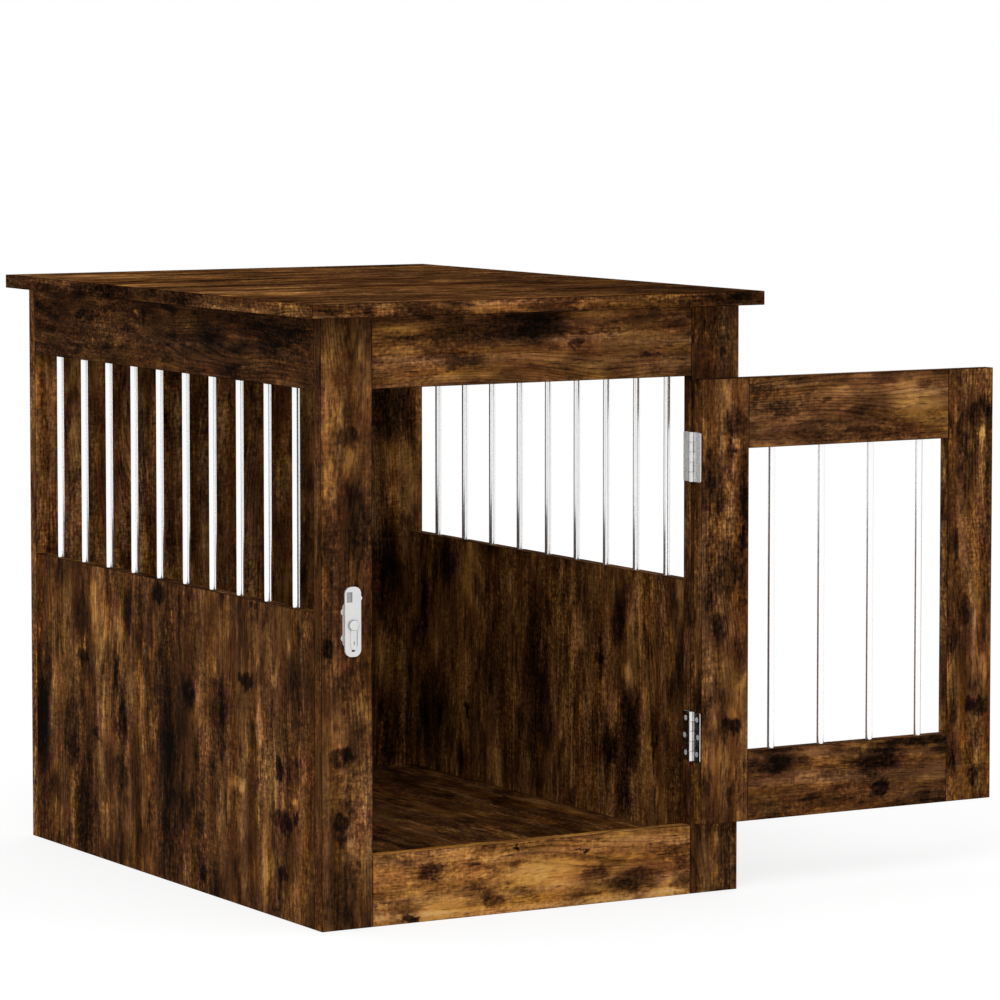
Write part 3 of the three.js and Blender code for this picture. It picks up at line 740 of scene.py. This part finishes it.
# ---------------------------------------------------------------------------------------------
# Hinges: two steel butt hinges. Each leaf is stamped from 1.2 mm sheet, its knuckles rolled round a
# 3 mm pin, and three countersunk cross-head screws hold it to the edge of its board.

TOUCHING = 0.01 * MM  # places closer than this are one place
MERGE_DISTANCE = 0.002 * MM
LEAF_THICKNESS = 1.2 * MM
LEAF_EASE = 0.15 * MM
KNUCKLE_EASE = 0.2 * MM
KNUCKLE_RADIUS = 3.2 * MM
KNUCKLE_BORE = 1.6 * MM
KNUCKLES = 5
KNUCKLE_PLAY = 0.3 * MM
ROLL_START = math.radians(62)
ROLL_SWEEP = math.radians(322)
ROLL_STEPS = 30
LEAF_FROM_AXIS = 0.3 * MM
PLATE_START = 3.5 * MM
LEAF_CORNER = 1.6 * MM
LEAF_CORNER_STEPS = 5
PIN_END_EASE = 0.5 * MM
PIN_SEGMENTS = 24
SCREW_ENDS = 8 * MM  # from the outer screws to the ends of a leaf
SCREW_NEAR = 6 * MM  # from the outer screws to its free edge
SCREW_FAR = 4 * MM  # from the middle screw to its free edge
SCREW_HEAD_RADIUS = 2.9 * MM
SCREW_PROUD = 0.28 * MM
SCREW_SEGMENTS = 32
# Shares of the head's radius, but for the rises, which are shares of how far it stands proud.
NECK, HEAD_DEPTH = 0.55, 0.5
HEAD_STEPS = ((0.25, 0.6), (0.35, 0.4))  # how far in each step of the crown lies, and its rise
CROSS_LENGTH, CROSS_WIDTH, CROSS_DEPTH = 1.1, 0.26, 0.35
CROSS_TAPER = 0.45
SCREW_TURN, NEXT_SCREW_TURN = 0.5, 1.1  # in radians: each cross has come to rest at its own angle


def bright_zinc():
    """Blue zinc plate on stamped steel: almost a mirror, with a soft mottle and light scuffs."""
    material, tree, shader = new_material("bright_zinc")
    place = add_node(tree, "TexCoord", output=3)
    mottle = add_node(tree, "TexNoise", {}, {"Vector": place, "Scale": 260.0, "Detail": 2.0})
    scuffs = add_node(tree, "Mapping", {}, {0: place, "Scale": (500, 500, 90)})
    scuffs = add_node(tree, "TexNoise", {}, {"Vector": scuffs, "Scale": 1.0, "Detail": 2.0})
    rough = add_node(tree, "MapRange", {}, {0: mottle, 1: 0.3, 2: 0.7, 3: 0.20, 4: 0.28})
    tree.links.new(rough, shader["Roughness"])
    colours = add_node(tree, "ValToRGB", {}, {0: mottle})
    shade_ramp(colours, ((0.25, "d6d7d7"), (0.75, "e5e5e3")))
    tree.links.new(colours, shader["Base Color"])
    bump = add_node(tree, "Bump", {}, {"Strength": 0.006, "Distance": 0.02 * MM, "Height": scuffs})
    tree.links.new(bump, shader["Normal"])
    shader["Metallic"].default_value = 1.0
    return material


def dull_zinc():
    """Zinc-flake coat on the screws: light grey and nearly matt, so that their heads stand out on the bright
    leaves."""
    material, tree, shader = new_material("dull_zinc")
    place = add_node(tree, "TexCoord", output=3)
    flakes = add_node(tree, "TexNoise", {}, {"Vector": place, "Scale": 1500.0, "Detail": 2.0})
    colours = add_node(tree, "ValToRGB", {}, {0: flakes})
    shade_ramp(colours, ((0.3, "c2c4c3"), (0.7, "d9dad8")))
    tree.links.new(colours, shader["Base Color"])
    rough = add_node(tree, "MapRange", {}, {0: flakes, 1: 0.3, 2: 0.7, 3: 0.42, 4: 0.54})
    tree.links.new(rough, shader["Roughness"])
    shader["Metallic"].default_value = 0.35
    return material


zinc = bright_zinc()
screw_zinc = dull_zinc()


def boolean(target, tool, operation):
    """Joins or cuts one bmesh with another, exactly, and returns the result. Both are used up."""
    objects = []
    for mesh in (target, tool):
        data = bpy.data.meshes.new("shape")
        mesh.to_mesh(data)
        mesh.free()
        shape = bpy.data.objects.new("shape", data)
        bpy.context.scene.collection.objects.link(shape)
        objects.append(shape)
    step = objects[0].modifiers.new("step", "BOOLEAN")
    step.operation = operation
    step.solver = "EXACT"
    step.object = objects[1]
    bpy.context.view_layer.update()
    made = bmesh.new()
    made.from_object(objects[0], bpy.context.evaluated_depsgraph_get())
    for shape in objects:
        bpy.data.meshes.remove(shape.data)
    bmesh.ops.remove_doubles(made, verts=made.verts, dist=MERGE_DISTANCE)
    return made


def cross_screw(radius, proud):
    """A countersunk head with a cross recess that faces +Z, its rim at z = 0."""
    head = bmesh.new()
    bmesh.ops.create_cone(
        head,
        cap_ends=True,
        segments=SCREW_SEGMENTS,
        radius1=radius * NECK,
        radius2=radius,
        depth=radius * HEAD_DEPTH,
        matrix=Matrix.Translation((0, 0, -radius * HEAD_DEPTH / 2)),
    )
    top = [f for f in head.faces if f.normal.z > FLAT]
    for inset, rise in HEAD_STEPS:
        bmesh.ops.inset_region(head, faces=top, thickness=radius * inset)
        bmesh.ops.translate(head, verts=list({v for f in top for v in f.verts}), vec=(0, 0, proud * rise))
    size = (radius * CROSS_LENGTH, radius * CROSS_WIDTH, radius * 2 * CROSS_DEPTH, 1)
    for turn in (0, math.pi / 2):
        arm = bmesh.new()
        bmesh.ops.create_cube(arm, size=1, matrix=Matrix.Rotation(turn, 4, "Z") @ Matrix.Diagonal(size))
        for corner in arm.verts:
            if corner.co.z < 0:
                corner.co.x *= CROSS_TAPER
                corner.co.y *= CROSS_TAPER
        head = boolean(head, arm, "DIFFERENCE")
    return head


head_mesh = cross_screw(SCREW_HEAD_RADIUS, SCREW_PROUD)
screw_shape = bpy.data.meshes.new("screw_shape")
head_mesh.to_mesh(screw_shape)
head_mesh.free()


def screws(name, places, facing, scale, body):
    """Copies of the screw head at some places, all facing one way, as one piece."""
    mesh = bmesh.new()
    turned = Vector((0, 0, 1)).rotation_difference(facing).to_matrix().to_4x4()
    for count, place in enumerate(places):
        before = len(mesh.verts)
        mesh.from_mesh(screw_shape)
        mesh.verts.ensure_lookup_table()
        spin = Matrix.Rotation(SCREW_TURN + NEXT_SCREW_TURN * count, 4, "Z")
        bmesh.ops.transform(
            mesh,
            verts=mesh.verts[before:],
            matrix=Matrix.Translation(place) @ turned @ spin @ Matrix.Scale(scale, 4),
        )
    finish_piece(name, mesh, body, screw_zinc, [])


def hinge_leaf(node, pin, toward, first, body):
    """A leaf whose plate runs from the pin along Y, back where toward is 1 and forwards where it is -1. It
    has every other knuckle, from first on."""
    low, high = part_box(node)
    pin_low, pin_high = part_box(pin)
    axis = (pin_low + pin_high) / 2
    face = axis.x + LEAF_FROM_AXIS
    back = face + LEAF_THICKNESS
    free_edge = high.y if toward > 0 else low.y
    start = axis.y + toward * PLATE_START
    bottom, top = pin_low.z, pin_high.z
    mesh = bmesh.new()
    size = (LEAF_THICKNESS, abs(free_edge - start), top - bottom)
    middle = Vector(((face + back) / 2, (free_edge + start) / 2, (bottom + top) / 2))
    bmesh.ops.create_cube(mesh, size=1, matrix=Matrix.Translation(middle) @ Matrix.Diagonal((*size, 1)))
    corners = [e for e in mesh.edges if all(abs(v.co.y - free_edge) < TOUCHING for v in e.verts)]
    corners = [e for e in corners if abs(e.verts[0].co.x - e.verts[1].co.x) > TOUCHING]
    ease(mesh, corners, LEAF_CORNER, LEAF_CORNER_STEPS)
    ease(mesh, outer_edges(mesh), LEAF_EASE)
    pitch = (top - bottom) / KNUCKLES
    for count in range(first, KNUCKLES, 2):
        knuckle_bottom = bottom + count * pitch + (KNUCKLE_PLAY / 2 if count else 0)
        knuckle_top = bottom + (count + 1) * pitch - (KNUCKLE_PLAY / 2 if count < KNUCKLES - 1 else 0)
        roll = bmesh.new()
        ends = [roll.verts.new((x, start, knuckle_bottom)) for x in (face, back)]
        tab = roll.edges.new(ends)
        grown = bmesh.ops.extrude_edge_only(roll, edges=[tab])["geom"]
        tips = sorted((g for g in grown if isinstance(g, bmesh.types.BMVert)), key=lambda v: v.co.x)
        for tip, radius in zip(tips, (KNUCKLE_BORE, KNUCKLE_RADIUS)):
            tip.co.x = axis.x + radius * math.cos(ROLL_START)
            tip.co.y = axis.y + toward * radius * math.sin(ROLL_START)
        lip = [g for g in grown if isinstance(g, bmesh.types.BMEdge)]
        bmesh.ops.spin(
            roll,
            geom=tips + lip,
            cent=(axis.x, axis.y, knuckle_bottom),
            axis=(0, 0, -toward),
            angle=ROLL_SWEEP,
            steps=ROLL_STEPS,
        )
        raised = bmesh.ops.extrude_face_region(roll, geom=roll.faces[:])["geom"]
        bmesh.ops.translate(
            roll,
            verts=[g for g in raised if isinstance(g, bmesh.types.BMVert)],
            vec=(0, 0, knuckle_top - knuckle_bottom),
        )
        bmesh.ops.recalc_face_normals(roll, faces=roll.faces)
        rims = [e for e in outer_edges(roll) if abs(e.verts[0].co.z - e.verts[1].co.z) < TOUCHING]
        ease(roll, rims, KNUCKLE_EASE)
        rolled = bpy.data.meshes.new("roll")
        roll.to_mesh(rolled)
        roll.free()
        mesh.from_mesh(rolled)
        bpy.data.meshes.remove(rolled)
    bmesh.ops.recalc_face_normals(mesh, faces=mesh.faces)
    finish_piece(node + "_plate", mesh, body, zinc, [node])
    places = [
        Vector((face, free_edge - toward * inset, height))
        for inset, height in (
            (SCREW_NEAR, bottom + SCREW_ENDS),
            (SCREW_FAR, (bottom + top) / 2),
            (SCREW_NEAR, top - SCREW_ENDS),
        )
    ]
    screws(node + "_screws", places, Vector((-1, 0, 0)), 1.0, body)


for hinge in ("upper", "lower"):
    pin = f"{hinge}_hinge_pin"
    hinge_leaf(f"{hinge}_hinge_frame_leaf", pin, 1, 0, "crate")
    hinge_leaf(f"{hinge}_hinge_door_leaf", pin, -1, 1, "door")
    rod(pin, "crate", zinc, PIN_END_EASE, PIN_SEGMENTS)


# ---------------------------------------------------------------------------------------------
# Latch: a cast turn bar on a base plate that four screws hold to the left post. The bar turns on a
# rivet, and a disc with a hanging thumb lever covers the rivet. All of it is pale satin-plated zinc.

LATCH_SCREW_SCALE = 0.8
LATCH_SCREW_X = 7.5 * MM
LATCH_SCREW_Z = 13.5 * MM
BASE_THICKNESS = 1.5 * MM
BASE_EASE = 0.2 * MM
TURN_BAR_EASE = 0.35 * MM
LEVER_EASE = 0.25 * MM
KNOB_SEGMENTS = 40
FLUSH_ANGLE = math.radians(1)
# Tones of the latch's painted light: plain faces, and the painted highlight on rounded rims.
PLAIN_FACE_TONE = 0.68
RIM_PAINTED_HIGHLIGHT = 0.95
SQUARE_ON = 0.98  # a normal this far along an axis isn't that of a rounded rim
STEEP = 0.15  # how far a face in a hollow leans before it counts as the hollow's side
SUNK_BELOW = 6.75 * MM  # in front of the post: lower faces in a hollow are its floor


def satin_plate():
    """Satin nickel under clear lacquer on a zinc casting: pale and softly matt. Its rims carry a painted
    highlight and its hollows painted shade. The attribute it reads runs from painted shadow at 0 to a painted
    highlight on a rim at 1."""
    material, tree, shader = new_material("satin_plate")
    place = add_node(tree, "TexCoord", output=3)
    peel = add_node(tree, "TexNoise", {}, {"Vector": place, "Scale": 900.0, "Detail": 2.0})
    cloud = add_node(tree, "TexNoise", {}, {"Vector": place, "Scale": 160.0, "Detail": 3.0})
    rough = add_node(tree, "MapRange", {}, {0: cloud, 1: 0.3, 2: 0.7, 3: 0.34, 4: 0.46})
    tree.links.new(rough, shader["Roughness"])
    # The attribute read here is painted light: shade in the hollows, highlights on the rims.
    shade_and_highlight = add_node(tree, "Attribute", {"attribute_name": "shade_and_highlight"}, output=2)
    tone = add_node(tree, "Math", {"operation": "MULTIPLY_ADD"}, {0: cloud, 1: 0.10, 2: shade_and_highlight})
    colours = add_node(tree, "ValToRGB", {}, {0: tone})
    shade_ramp(colours, ((0.05, "2f2c28"), (0.38, "85898a"), (0.72, "d9d9d7"), (1.0, "f7f4f1")))
    tree.links.new(colours, shader["Base Color"])
    bump = add_node(tree, "Bump", {}, {"Strength": 0.05, "Distance": 0.03 * MM, "Height": peel})
    tree.links.new(bump, shader["Normal"])
    shader["Metallic"].default_value = 0.35
    return material


satin = satin_plate()
pivot_low, pivot_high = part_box("latch_pivot")
pivot = (pivot_low + pivot_high) / 2
pivot.y = pivot_high.y


def on_latch(right, out, up):
    """A place on the latch, in mm from where the pivot meets the post."""
    return Vector((pivot.x + right * MM, pivot.y - out * MM, pivot.z + up * MM))


def lathe(profile):
    """A solid turned about the pivot. The profile is radius and height above the post in mm, its ends on the
    axis."""
    solid = bmesh.new()
    points = [solid.verts.new(on_latch(radius, out, 0)) for radius, out in profile]
    line = [solid.edges.new(pair) for pair in zip(points, points[1:])]
    bmesh.ops.spin(
        solid,
        geom=points + line,
        cent=pivot,
        axis=(0, 1, 0),
        angle=math.tau,
        steps=KNOB_SEGMENTS,
        use_merge=True,
    )
    bmesh.ops.remove_doubles(solid, verts=solid.verts, dist=MERGE_DISTANCE)
    bmesh.ops.recalc_face_normals(solid, faces=solid.faces)
    return solid


def latch_box(low, high):
    """The lowest and highest corner of a box between two places on the latch."""
    return on_latch(low[0], high[1], low[2]), on_latch(high[0], low[1], high[2])


def cast_copy(node, body, width, added=(), cut=(), hollows=()):
    """A copy of a small CAD solid with finer forms added and cut, its rims softened as a casting's are. Its
    rounded rims get a painted highlight. Each hollow is a box on the latch whose steep and sunk faces get
    painted shade, and the tone of that shade."""
    mesh = bmesh.new()
    mesh.from_mesh(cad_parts[node].data)
    bmesh.ops.remove_doubles(mesh, verts=mesh.verts, dist=MERGE_DISTANCE)
    bmesh.ops.dissolve_limit(mesh, angle_limit=FLUSH_ANGLE, verts=mesh.verts, edges=mesh.edges)
    for shape in added:
        mesh = boolean(mesh, shape, "UNION")
    for shape in cut:
        mesh = boolean(mesh, shape, "DIFFERENCE")
    ease(mesh, outer_edges(mesh), width)
    shade_and_highlight = mesh.loops.layers.float.new("shade_and_highlight")
    # Rounded rims get a painted highlight, and the faces of a hollow get painted shade.
    for face in mesh.faces:
        steepness = 1 - abs(face.normal.y)
        rounded = steepness < SQUARE_ON and max(abs(c) for c in face.normal) < SQUARE_ON
        painted_tone = RIM_PAINTED_HIGHLIGHT if rounded else PLAIN_FACE_TONE
        centre = face.calc_center_median()
        for low, high, hollow_shade in hollows:
            lowest, highest = latch_box(low, high)
            inside = all(lowest[i] <= centre[i] <= highest[i] for i in (X, Y, Z))
            if inside and (steepness > STEEP or pivot.y - centre.y < SUNK_BELOW):
                painted_tone = hollow_shade
        for corner in face.loops:
            corner[shade_and_highlight] = painted_tone
    finish_piece(node + "_cast", mesh, body, satin, [node])


# Hollows that get painted shade, with its tone: the pocket, a near-black painted shadow under the lever's
# tip, a painted shadow beside the lever, painted shade round the knob and in the screw pit.
pocket_hollow = ((-7.8, 4.9, 23.9), (-0.9, 6.78, 34.5), 0.41)
scoop_hollow = ((-2.2, 5.9, -27.6), (2.2, 6.78, -25.3), 0.05)
groove_hollow = ((2.9, 6.4, -22.2), (5.2, 6.78, -6.0), 0.46)
knob_hollow = ((-6.2, 6.85, -6.2), (6.2, 9.6, 6.2), 0.36)
screw_hollow = ((-2.3, 6.85, -21.4), (2.3, 8.38, -16.0), 0.42)
knob = lathe(((0, 8.0), (5.75, 8.0), (5.72, 8.4), (5.0, 9.5), (4.5, 9.8), (3.4, 9.95), (0, 10.0)))
scoop = block(*latch_box((-1.6, 6.0, -27.0), (1.4, 8.0, -25.4)))
groove = block(*latch_box((2.9, 6.45, -22.0), (5.0, 8.0, -6.2)))
pit = block(*latch_box((-1.1, 7.6, -20.9), (1.1, 9.0, -16.4)))
turn_bar_hollows = (pocket_hollow, scoop_hollow, groove_hollow)
cast_copy("latch_base_plate", "crate", BASE_EASE)
cast_copy("latch_turn_bar", "latch", TURN_BAR_EASE, (), (scoop, groove), turn_bar_hollows)
cast_copy("latch_thumb_lever", "latch", LEVER_EASE, (knob,), (pit,), (knob_hollow, screw_hollow))
coat("latch_pivot", zinc)

base_face = pivot.y - BASE_THICKNESS
screw_places = [
    Vector((pivot.x + x, base_face, pivot.z + z))
    for x in (-LATCH_SCREW_X, LATCH_SCREW_X)
    for z in (-LATCH_SCREW_Z, LATCH_SCREW_Z)
]
screws("latch_screws", screw_places, Vector((0, -1, 0)), LATCH_SCREW_SCALE, "crate")


# ---------------------------------------------------------------------------------------------
# Studio: a white room with a pale floor, even light from all round and one large soft lamp at the
# upper left. The camera stands at the photograph's place, to the left of the front.

FLOOR_SIZE = 14
FLOOR_GLOW = 0.72
ROOM_LIGHT = 0.8
LAMP_PLACE, LAMP_TARGET = Vector((-2.2, -2.6, 2.8)), Vector((0, 0.3, 0.3))
LAMP_WIDTH = 2.2
LAMP_POWER = 60
CAMERA_PLACE = (-2555.4 * MM, -4313.3 * MM, 909.7 * MM)
CAMERA_YAW = 0.5283
CAMERA_PITCH = 0.0776
CAMERA_FOCAL = 4.7827  # focal length in picture widths
CAMERA_SHIFT = -0.08
SENSOR_WIDTH = 36
FARTHEST_SEEN = 100  # in metres

floor_mesh = bmesh.new()
bmesh.ops.create_grid(floor_mesh, x_segments=1, y_segments=1, size=FLOOR_SIZE / 2)
floor_data = bpy.data.meshes.new("studio_floor")
floor_mesh.to_mesh(floor_data)
floor_mesh.free()
studio_floor = bpy.data.objects.new("studio_floor", floor_data)
bpy.context.scene.collection.objects.link(studio_floor)


def seen_directly(tree):
    """1 where the camera sees the room, also by reflection, and 0 where the room only lights the object."""
    seen = add_node(tree, "LightPath")
    rays = seen.node.outputs
    for kind in ("Is Glossy Ray", "Is Transmission Ray"):
        seen = add_node(tree, "Math", {"operation": "MAXIMUM"}, {0: seen, 1: rays[kind]})
    return seen


# White paper. As the camera sees it, most of its brightness is its own, which keeps the shadow pale.
paper = bpy.data.materials.new("studio_paper")
paper.use_nodes = True
tree = paper.node_tree
tree.nodes.clear()
lit = add_node(tree, "BsdfDiffuse", {}, {"Color": linear("e9e9e9")})
half_lit = add_node(tree, "BsdfDiffuse", {}, {"Color": linear("9e9e9e")})
glow = add_node(tree, "Emission", {}, {"Color": linear("ffffff"), "Strength": FLOOR_GLOW})
shown_floor = add_node(tree, "AddShader", {}, {0: half_lit, 1: glow})
mixed = add_node(tree, "MixShader", {}, {0: seen_directly(tree), 1: lit, 2: shown_floor})
add_node(tree, "OutputMaterial", {}, {"Surface": mixed})
floor_data.materials.append(paper)

world = bpy.data.worlds.new("studio_room")
bpy.context.scene.world = world
world.use_nodes = True
tree = world.node_tree
tree.nodes.clear()
room = add_node(tree, "Background", {}, {"Color": linear("ffffff"), "Strength": ROOM_LIGHT})
backdrop = add_node(tree, "Background", {}, {"Color": linear("ffffff"), "Strength": 1.0})
mixed = add_node(tree, "MixShader", {}, {0: seen_directly(tree), 1: room, 2: backdrop})
add_node(tree, "OutputWorld", {}, {"Surface": mixed})

softbox = bpy.data.lights.new("key_softbox", "AREA")
softbox.shape = "SQUARE"
softbox.size = LAMP_WIDTH
softbox.energy = LAMP_POWER
lamp = bpy.data.objects.new("key_softbox", softbox)
lamp.location = LAMP_PLACE
lamp.rotation_mode = "QUATERNION"
lamp.rotation_quaternion = (LAMP_TARGET - LAMP_PLACE).to_track_quat("-Z", "Y")
lamp.visible_glossy = False
bpy.context.scene.collection.objects.link(lamp)

camera_data = bpy.data.cameras.new("photo_camera")
camera_data.sensor_width = SENSOR_WIDTH
camera_data.lens = CAMERA_FOCAL * SENSOR_WIDTH
camera_data.shift_y = CAMERA_SHIFT
camera_data.clip_end = FARTHEST_SEEN
camera = bpy.data.objects.new("photo_camera", camera_data)
camera.location = CAMERA_PLACE
looking = Vector(
    (
        math.sin(CAMERA_YAW) * math.cos(CAMERA_PITCH),
        math.cos(CAMERA_YAW) * math.cos(CAMERA_PITCH),
        -math.sin(CAMERA_PITCH),
    )
)
camera.rotation_mode = "QUATERNION"
camera.rotation_quaternion = looking.to_track_quat("-Z", "Y")
bpy.context.scene.collection.objects.link(camera)
bpy.context.scene.camera = camera
bpy.context.scene.view_settings.view_transform = "Standard"
